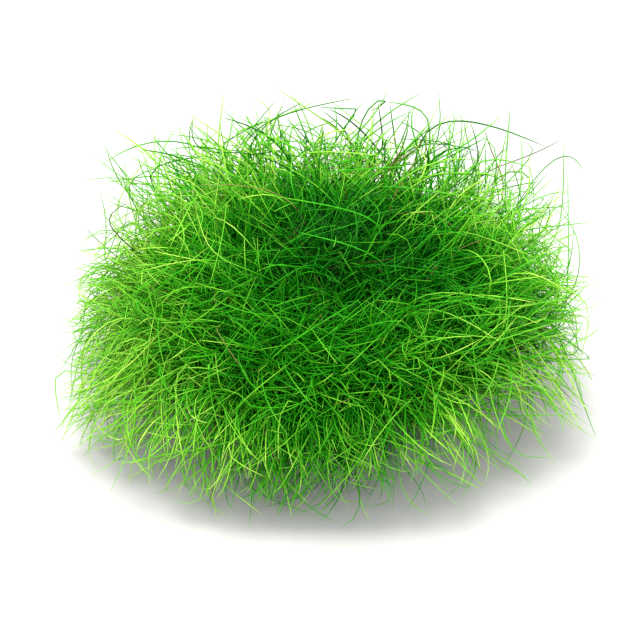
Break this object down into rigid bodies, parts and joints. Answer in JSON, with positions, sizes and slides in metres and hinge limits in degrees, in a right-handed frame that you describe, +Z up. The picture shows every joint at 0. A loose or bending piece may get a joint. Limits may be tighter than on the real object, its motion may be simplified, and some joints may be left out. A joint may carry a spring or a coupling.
{
  "type": "dwarf hairgrass in bowl",
  "caption": "Low cushion of hair-thin grass growing as separate tufts on mounded soil in a plain shallow round bowl with a flat base, its outer leaves hanging over the rim.",
  "frame": {"origin": "centre of the bowl's flat underside, on the surface that it stands on", "axes": "+Z up along the bowl's axis, -Y towards the viewer of the front, +X to that viewer's right"},
  "size_m": [0.1902, 0.1888, 0.0891],
  "materials": {
    "bowl_glaze": "glossy",
    "soil": "rough",
    "leaf": "satin"
  },
  "bodies": {
    "root": {"bowl": "bowl_glaze", "soil": "soil", "tuft_centre": "leaf", "tuft_inner_01": "leaf", "tuft_inner_02": "leaf", "tuft_inner_03": "leaf", "tuft_inner_04": "leaf", "tuft_inner_05": "leaf", "tuft_middle_01": "leaf", "tuft_middle_02": "leaf", "tuft_middle_03": "leaf", "tuft_middle_04": "leaf", "tuft_middle_05": "leaf", "tuft_middle_06": "leaf", "tuft_middle_07": "leaf", "tuft_middle_08": "leaf", "tuft_middle_09": "leaf", "tuft_middle_10": "leaf", "tuft_outer_01": "leaf", "tuft_outer_02": "leaf", "tuft_outer_03": "leaf", "tuft_outer_04": "leaf", "tuft_outer_05": "leaf", "tuft_outer_06": "leaf", "tuft_outer_07": "leaf", "tuft_outer_08": "leaf", "tuft_outer_09": "leaf", "tuft_outer_10": "leaf", "tuft_outer_11": "leaf", "tuft_outer_12": "leaf", "tuft_outer_13": "leaf", "tuft_outer_14": "leaf", "tuft_rim_01": "leaf", "tuft_rim_02": "leaf", "tuft_rim_03": "leaf", "tuft_rim_04": "leaf", "tuft_rim_05": "leaf", "tuft_rim_06": "leaf", "tuft_rim_07": "leaf", "tuft_rim_08": "leaf", "tuft_rim_09": "leaf", "tuft_rim_10": "leaf", "tuft_rim_11": "leaf", "tuft_rim_12": "leaf", "tuft_rim_13": "leaf", "tuft_rim_14": "leaf", "tuft_rim_15": "leaf", "tuft_rim_16": "leaf", "tuft_rim_17": "leaf", "tuft_rim_18": "leaf", "tuft_rim_19": "leaf", "tuft_rim_20": "leaf"}
  },
  "joints": []
}
